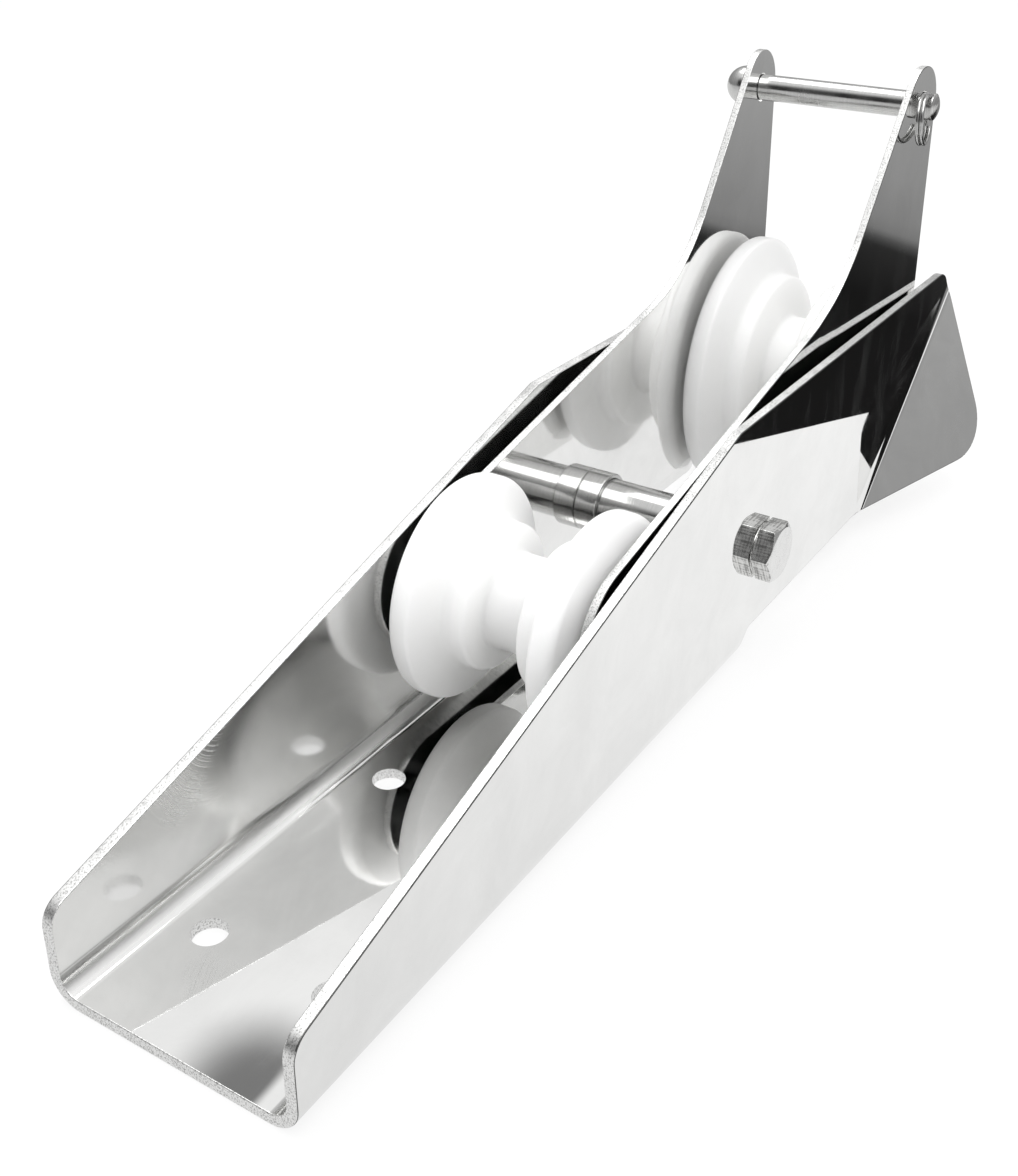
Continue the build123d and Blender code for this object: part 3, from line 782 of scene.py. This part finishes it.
class BOWROLLER_OT_channel(bpy.types.Operator):
    """The folded channel, mirror polished, with ground edges"""

    bl_idname = "bow_roller.channel"
    bl_label = "Channel"

    def execute(self, context):
        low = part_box("channel")[0]
        fold_top = low.z + 8.05 * MM
        base_end = low.x + 204.9 * MM
        half_base = 26 * MM
        hole_margin = 5 * MM
        relief_length, relief_rise = 3 * MM, 1 * MM
        pivot_hole = {"pivot_rod": 9 * MM}

        def kind(centre, normal):
            polished = INSIDE if normal.y * centre.y < 0 or normal.z > 0.5 else OUTSIDE
            if near_axis(centre, pivot_hole) and abs(normal.y) < 0.5 and centre.z > fold_top:
                return OUTSIDE
            if bore(centre, normal):
                return INSIDE
            if abs(normal.x) > 0.5 or centre.z > fold_top or centre.x > base_end:
                return GROUND if abs(normal.x) > 0.5 or abs(normal.y) < 0.6 else polished
            return polished

        def bore(centre, normal):
            in_base = abs(centre.y) < half_base and low.x + hole_margin < centre.x < base_end - hole_margin
            return in_base and abs(normal.z) < 0.5 and centre.z < fold_top

        def relief(point):
            return abs(point.x - base_end) < relief_length and point.z < fold_top + relief_rise

        size = context.scene.bow_sheet
        outside = {"clear": 0.015, "hazy": 0.06, "residue": 0.03}
        outside = mirror_polished_stainless("mirror_polished_channel_outside", size.polished, **outside)
        inside = {"clear": 0.025, "hazy": 0.06, "residue": 0.03}
        folds = {"wall": 0.09, "fold": 0.26, "sag": 5.5, "arcs": 0.4}
        inside = mirror_polished_stainless("buffed_channel_inside", size.polished, **inside, **folds)
        sheet = ("channel", "channel_sheet", "channel_frame", size.edge_break)
        sheet_piece(*sheet, kind, outside, inside, relief, bore)
        return {"FINISHED"}


class BOWROLLER_OT_cheeks(bpy.types.Operator):
    """The cradle's two sheet cheeks with their ears"""

    bl_idname = "bow_roller.cheeks"
    bl_label = "Cradle cheeks"

    def execute(self, context):
        size = context.scene.bow_sheet
        satin = {"clear": 0.045, "hazy": 0.1, "residue": 0.015}
        satin = mirror_polished_stainless("satin_polished_cheek_sheet", size.polished, **satin)
        holes = {"pivot_rod": 12 * MM, "rear_axle": 12 * MM, "front_axle": 12 * MM, "retaining_pin": 6.5 * MM}

        def kind(centre, normal):
            return GROUND if abs(normal.y) < 0.9 and not near_axis(centre, holes) else OUTSIDE

        for side in ("left", "right"):
            node, name = "cradle_cheek_" + side, "cheek_sheet_" + side
            sheet_piece(node, name, "cradle", size.cheek_edge_break, kind, satin, satin)
        return {"FINISHED"}


class BOWROLLER_OT_rollers(bpy.types.Operator):
    """The two stepped rollers, turned from milky acetal"""

    bl_idname = "bow_roller.rollers"
    bl_label = "Rollers"

    def execute(self, context):
        size = context.scene.bow_roller
        bore, bore_corner = size.bore / 2, 0.5 * MM
        for which, shoulder, barrel in (
            ("rear", size.rear_shoulder, size.rear_barrel),
            ("front", size.front_shoulder, size.front_barrel),
        ):
            node = which + "_roller"
            flange, half = span(node).x / 2, span(node).y / 2
            steps = [
                (bore, half, bore_corner),
                (flange, half, size.rim_outer_rounding),
                (flange, half - size.rim_width, size.rim_inner_rounding),
                (shoulder / 2, size.flange_foot, size.foot_rounding),
                (shoulder / 2, size.shoulder_end, size.shoulder_rounding),
                (barrel / 2, size.barrel_end, size.barrel_rounding),
            ]
            other = [(radius, -y, rounding) for radius, y, rounding in reversed(steps)]
            outline = [(bore, 0, 0), *steps, *other, (bore, 0, 0)]
            material = milky_acetal("milky_acetal_" + which, size.plastic, middle(node))
            piece = turned_piece(which + "_roller_turned", node, outline, material, size.around, size.steps)
            finish_edges(piece, 0)
            keep(piece, which + "_roller_body", "roller_plastic", node)
        return {"FINISHED"}


def bolt_head(name, y_wall, y_face):
    """A right-hand bolt head: a round seat on the wall, then a hexagon with its corners turned down."""
    size = bpy.context.scene.bow_pivot
    centre = middle("pivot_rod")
    apothem = size.across_flats / 2
    flat = size.face_share * apothem
    y_under = y_wall - size.seat
    count = 72
    rows = [[], [], [], [], []]
    for index in range(count):
        turned = 2 * pi * index / count
        angle = size.turn + turned
        corner = apothem / cos(turned % (pi / 3) - pi / 6)
        drop = (corner - flat) * tan(size.chamfer_slope)
        stops = (flat, y_wall), (flat, y_under), (corner, y_under), (corner, y_face + drop), (flat, y_face)
        for row, (radius, y) in zip(rows, stops):
            row.append((centre.x + radius * cos(angle), y, centre.z + radius * sin(angle)))
    points = [point for row in rows for point in row]
    faces = [tuple(range(count)), tuple(range(4 * count, 5 * count))]
    for start in range(0, 4 * count, count):
        for index in range(count):
            here, after = start + index, start + (index + 1) % count
            faces.append((here, after, after + count, here + count))
    return outward(new_piece(name, points, faces=faces))


class BOWROLLER_OT_pivot_fasteners(bpy.types.Operator):
    """The bolt at each end of the pivot, and the washers inside the walls"""

    bl_idname = "bow_roller.pivot_fasteners"
    bl_label = "Pivot bolts and washers"

    def execute(self, context):
        size = context.scene.bow_pivot
        steel = shared("machined_stainless_hexagon", machined_hexagon, size.machined)
        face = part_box("pivot_bolt_right")[0].y
        heads = bolt_head("bolt_heads", face + size.head, face)
        finish_edges(heads, width=0.16 * MM, angle=20)
        paired(heads, steel)
        keep(heads, "channel_frame", "fastener_steel", "pivot_bolt_left", "pivot_bolt_right")
        node = "pivot_spacer_washer_right"
        low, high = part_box(node)
        inner = span("pivot_rod").x / 2 + size.bush_gap
        outline = tube_outline(inner, (high.x - low.x) / 2, low.y, high.y, 0.25 * MM)
        nylon = shared("stamped_nylon_washer", pressed_washer_plastic, size.nylon)
        washers = turned_piece("pivot_washers", node, outline, nylon, around=72, steps=2)
        paired(washers, nylon)
        finish_edges(washers, 0)
        keep(washers, "channel_frame", "washer_plastic", "pivot_spacer_washer_left", node)
        return {"FINISHED"}


def bar_steel(size):
    """The turned steel of the rod, the bushes and the axles."""
    name, smooth, dull = "turned_stainless_bar", 0.09, 0.18
    return shared(name, turned_stainless, name, size.turned, smooth, dull)


class BOWROLLER_OT_pivot(bpy.types.Operator):
    """The pivot rod and the collared bushes that turn on it"""

    bl_idname = "bow_roller.pivot"
    bl_label = "Pivot rod and bushes"

    def execute(self, context):
        size = context.scene.bow_pivot
        steel = bar_steel(size)
        low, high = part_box("pivot_rod")
        radius, corner = (high.x - low.x) / 2, 0.5 * MM
        outline = [(0, low.y, 0), (radius, low.y, corner), (radius, high.y, corner), (0, high.y, 0)]
        rod = turned_piece("pivot_rod_turned", "pivot_rod", outline, steel, steps=3)
        finish_edges(rod, 0)
        keep(rod, "channel_frame", "turned_steel", "pivot_rod")
        low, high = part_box("pivot_bush_right")
        half = (low.y + high.y) / 2
        collar = (high.x - low.x) / 2
        inner = radius + size.bush_gap
        sleeve = inner + size.bush_sleeve
        step = high.y - size.bush_collar
        outline = [
            (inner, half, 0),
            (inner, high.y, 0.3 * MM),
            (collar, high.y, 0.45 * MM),
            (collar, step, 0.6 * MM),
            (sleeve, step, 0),
            (sleeve, low.y, 0.2 * MM),
            (inner, low.y, 0.2 * MM),
            (inner, half, 0),
        ]
        bushes = turned_piece("pivot_bushes", "pivot_bush_right", outline, steel, steps=3)
        paired(bushes, steel)
        finish_edges(bushes, 0)
        keep(bushes, "cradle", "turned_steel", "pivot_bush_left", "pivot_bush_right")
        return {"FINISHED"}


class BOWROLLER_OT_axles(bpy.types.Operator):
    """Finishes on the axles, their screws and the washers beside the rollers"""

    bl_idname = "bow_roller.axles"
    bl_label = "Axles, screws and washers"

    def execute(self, context):
        size = context.scene.bow_pivot
        machined = shared("machined_stainless_hexagon", machined_hexagon, size.machined)
        nylon = shared("stamped_nylon_washer", pressed_washer_plastic, size.nylon)
        for which in ("rear", "front"):
            for material, slot, width, parts in (
                (bar_steel(size), "turned_steel", 0.3 * MM, ["_axle"]),
                (machined, "fastener_steel", 0.12 * MM, ["_axle_screw_left", "_axle_screw_right"]),
                (nylon, "washer_plastic", 0.15 * MM, ["_roller_washer_left", "_roller_washer_right"]),
            ):
                for part in parts:
                    piece = merged_copy(which + part, which + part + "_finished")
                    piece.data.materials.append(material)
                    finish_edges(piece, width, segments=1, angle=40)
                    keep(piece, "cradle", slot, which + part)
        return {"FINISHED"}


def domed_end(radius, rise, steps, rounding):
    """The outline of a domed end, from its middle to its rim, as (radius, depth, rounding) points."""
    ball = (radius**2 + rise**2) / (2 * rise)
    rim = atan2(radius, ball - rise)
    angles = [rim * index / steps for index in range(steps + 1)]
    points = [(ball * sin(angle), ball * (1 - cos(angle)), 0) for angle in angles]
    return [*points[:-1], (*points[-1][:2], rounding)]


def cross_hole_place(size):
    """The place of the pin's cross hole, with the hole's axis along Z."""
    centre = middle("retaining_pin")
    return Matrix.Translation((centre.x, size.cross_hole_y, centre.z)) @ Matrix.Rotation(-size.lean, 4, "Y")


class BOWROLLER_OT_retaining_pin(bpy.types.Operator):
    """The pin across the ears, with a domed head and a cross hole"""

    bl_idname = "bow_roller.retaining_pin"
    bl_label = "Retaining pin"

    def execute(self, context):
        size = context.scene.bow_pin
        low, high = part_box("retaining_pin")
        head, shank = size.head_width / 2, size.diameter / 2
        rise = high.y - size.head_under - size.head_rim
        dome = domed_end(head, rise, steps=14, rounding=0.4 * MM)
        dome = [(radius, high.y - depth, soft) for radius, depth, soft in dome]
        tip = domed_end(shank, size.tip_dome, steps=8, rounding=0.35 * MM)
        tip = [(radius, low.y + depth, soft) for radius, depth, soft in reversed(tip)]
        outline = [*dome, (head, size.head_under, 0.3 * MM), (shank, size.head_under, 0), *tip]
        steel = turned_stainless("satin_stainless_pin", size.satin, smooth=0.16, dull=0.28)
        pin = turned_piece("retaining_pin_turned", "retaining_pin", outline, steel, steps=3)
        shape = bmesh.new()
        hole = {"radius1": size.cross_hole / 2, "radius2": size.cross_hole / 2, "depth": 3 * size.diameter}
        bmesh.ops.create_cone(shape, cap_ends=True, segments=40, matrix=cross_hole_place(size), **hole)
        drill = shaped_piece("cross_hole_drill", shape)
        cut = pin.modifiers.new("cross_hole", "BOOLEAN")
        cut.operation = "DIFFERENCE"
        cut.solver = "EXACT"
        cut.object = drill
        settle(pin)
        bpy.data.objects.remove(drill)
        finish_edges(pin, width=0.12 * MM, angle=38)
        keep(pin, "retaining_pin_body", "turned_steel", "retaining_pin")
        return {"FINISHED"}


class BOWROLLER_OT_pin_ring(bpy.types.Operator):
    """The split ring that hangs in the pin's cross hole"""

    bl_idname = "bow_roller.pin_ring"
    bl_label = "Split ring"

    def execute(self, context):
        size = context.scene.bow_pin
        swung = Matrix.Rotation(size.swing, 4, "Z") @ Matrix.Translation((-size.seat, 0, 0))
        upright = Matrix.Rotation(radians(90), 4, "X") @ Matrix.Rotation(size.ends, 4, "Z")
        wire = drawn_spring_wire(size.spring)
        ring = new_piece("split_ring", [])
        turns = split_ring_tree()
        tree_modifier(ring, turns, radius=size.ring, wire=size.wire, pitch=size.pitch, material=wire)
        settle(ring)
        ring.data.transform(cross_hole_place(size) @ swung @ upright)
        outward(ring)
        finish_edges(ring, 0)
        keep(ring, "pin_ring_body", "spring_wire", "pin_ring")
        return {"FINISHED"}


# Stage

# Corners of the room beyond the table, seen from above and in metres, and the radius of the tent round it.
ROOM_EDGE = [(0.200, -0.157), (0.640, -0.450), (4.0, -2.6), (4.0, 2.0), (1.16, 0.37), (0.470, -0.008)]
TENT_RADIUS = 4.3

# How far the floor lies under the object, so that the two never share a face.
FLOOR_GAP = 0.02 * MM


def only_in_reflections(piece):
    """Make a stage piece show only in the metal's reflections."""
    piece.visible_camera = False
    piece.visible_diffuse = False
    piece.visible_shadow = False
    piece.visible_transmission = False
    return piece


def soft_lamp(name, place, aim, side, power):
    """A large square lamp that points at the object."""
    data = bpy.data.lights.new(name, "AREA")
    data.shape = "SQUARE"
    data.size = side
    data.energy = power
    lamp = bpy.data.objects.new(name, data)
    lamp.location = place
    lamp.rotation_euler = (Vector(aim) - Vector(place)).to_track_quat("-Z", "Y").to_euler()
    bpy.context.scene.collection.objects.link(lamp)
    return lamp


class BOWROLLER_OT_stage(bpy.types.Operator):
    """The floor, the light and the camera"""

    bl_idname = "bow_roller.stage"
    bl_label = "Stage"

    def execute(self, context):
        size = context.scene.bow_stage
        half = size.floor_size / 2
        corners = [(-half, -half, 0), (half, -half, 0), (half, half, 0), (-half, half, 0)]
        floor = new_piece("floor", corners, faces=[(0, 1, 2, 3)])
        floor.data.materials.append(pale_studio_floor(size.floor, glow=0.8, near=0.76, far=0.95))
        floor.location.z = -FLOOR_GAP
        edge = [(x, y, MM) for x, y in ROOM_EDGE]
        room = new_piece("room_beyond", edge, faces=[tuple(range(len(edge)))])
        room.data.materials.append(glowing("room_beyond_the_table", room_beyond_the_table))
        only_in_reflections(room)
        shape = bmesh.new()
        bmesh.ops.create_uvsphere(shape, u_segments=48, v_segments=24, radius=TENT_RADIUS)
        tent = shaped_piece("light_tent", shape)
        tent.data.materials.append(glowing("inside_of_the_light_tent", inside_of_the_light_tent))
        only_in_reflections(tent)
        soft_lamp("key_lamp", place=(-0.35, -0.55, 1.75), aim=(0.12, 0, 0.03), side=1.3, power=size.key)
        soft_lamp("fill_lamp", place=(0.5, 0.45, 1.65), aim=(0.2, 0, 0.05), side=0.9, power=size.fill)
        self.set_world(context, size)
        self.set_camera(context, size)
        context.scene.view_settings.view_transform = "Standard"
        return {"FINISHED"}

    def set_world(self, context, size):
        """A white sky, which lights the object by its own strength."""
        world = bpy.data.worlds.new("soft_studio")
        world.use_nodes = True
        tree = world.node_tree
        tree.nodes.clear()
        seen = add(tree, "ShaderNodeLightPath").outputs
        direct = (seen["Is Camera Ray"], seen["Is Glossy Ray"])
        direct = add(tree, "ShaderNodeMath", direct, operation="MAXIMUM")
        white = add(tree, "ShaderNodeMath", (direct, seen["Is Transmission Ray"]), operation="MAXIMUM")
        strength = add(tree, "ShaderNodeMapRange", (white, 0.0, 1.0, size.sky, 1.0))
        sky = add(tree, "ShaderNodeBackground", {"Color": (1, 1, 1, 1), "Strength": strength})
        add(tree, "ShaderNodeOutputWorld", {"Surface": sky})
        context.scene.world = world

    def set_camera(self, context, size):
        """The camera at the photograph's viewing angle."""
        ahead = (Vector(size.aim) - Vector(size.eye)).normalized()
        level = ahead.cross(Vector((0, 0, 1))).normalized()
        down = ahead.cross(level)
        right = cos(size.roll) * level + sin(size.roll) * down
        down = cos(size.roll) * down - sin(size.roll) * level
        data = bpy.data.cameras.new("photo_camera")
        columns, rows, sensor = 1018, 1176, 36.0
        data.sensor_width = sensor
        data.lens = size.focal_pixels * sensor / rows
        data.shift_x = (columns / 2 - size.centre_column) / rows
        data.shift_y = (size.centre_row - rows / 2) / rows
        data.clip_start = 0.01
        data.clip_end = 50
        camera = bpy.data.objects.new("photo_camera", data)
        turn = Matrix((right, -down, -ahead)).transposed().to_4x4()
        camera.matrix_world = Matrix.Translation(size.eye) @ turn
        context.scene.collection.objects.link(camera)
        context.scene.camera = camera


OPERATORS = (
    BOWROLLER_OT_stage,
    BOWROLLER_OT_channel,
    BOWROLLER_OT_cheeks,
    BOWROLLER_OT_rollers,
    BOWROLLER_OT_pivot,
    BOWROLLER_OT_pivot_fasteners,
    BOWROLLER_OT_axles,
    BOWROLLER_OT_retaining_pin,
    BOWROLLER_OT_pin_ring,
)


class BOWROLLER_PT_panel(bpy.types.Panel):
    """Lists the pieces of the bow roller"""

    bl_label = "Bow roller"
    bl_idname = "BOWROLLER_PT_panel"
    bl_space_type = "VIEW_3D"
    bl_region_type = "UI"
    bl_category = "Bow roller"

    def draw(self, context):
        for operator in OPERATORS:
            self.layout.operator(operator.bl_idname)
        for name, group in GROUPS.items():
            box = self.layout.box()
            for label in group.__annotations__:
                box.prop(getattr(context.scene, name), label)


def register():
    for group in (*GROUPS.values(), *OPERATORS, BOWROLLER_PT_panel):
        bpy.utils.register_class(group)
    for name, group in GROUPS.items():
        setattr(bpy.types.Scene, name, PointerProperty(type=group))


def unregister():
    for name in GROUPS:
        delattr(bpy.types.Scene, name)
    for group in (BOWROLLER_PT_panel, *reversed(OPERATORS), *reversed(GROUPS.values())):
        bpy.utils.unregister_class(group)


def main():
    register()
    for operator in OPERATORS:
        made = getattr(bpy.ops.bow_roller, operator.bl_idname.split(".")[1])()
        if made != {"FINISHED"}:
            raise RuntimeError(operator.bl_label + " was not made")


if __name__ == "__main__":
    main()
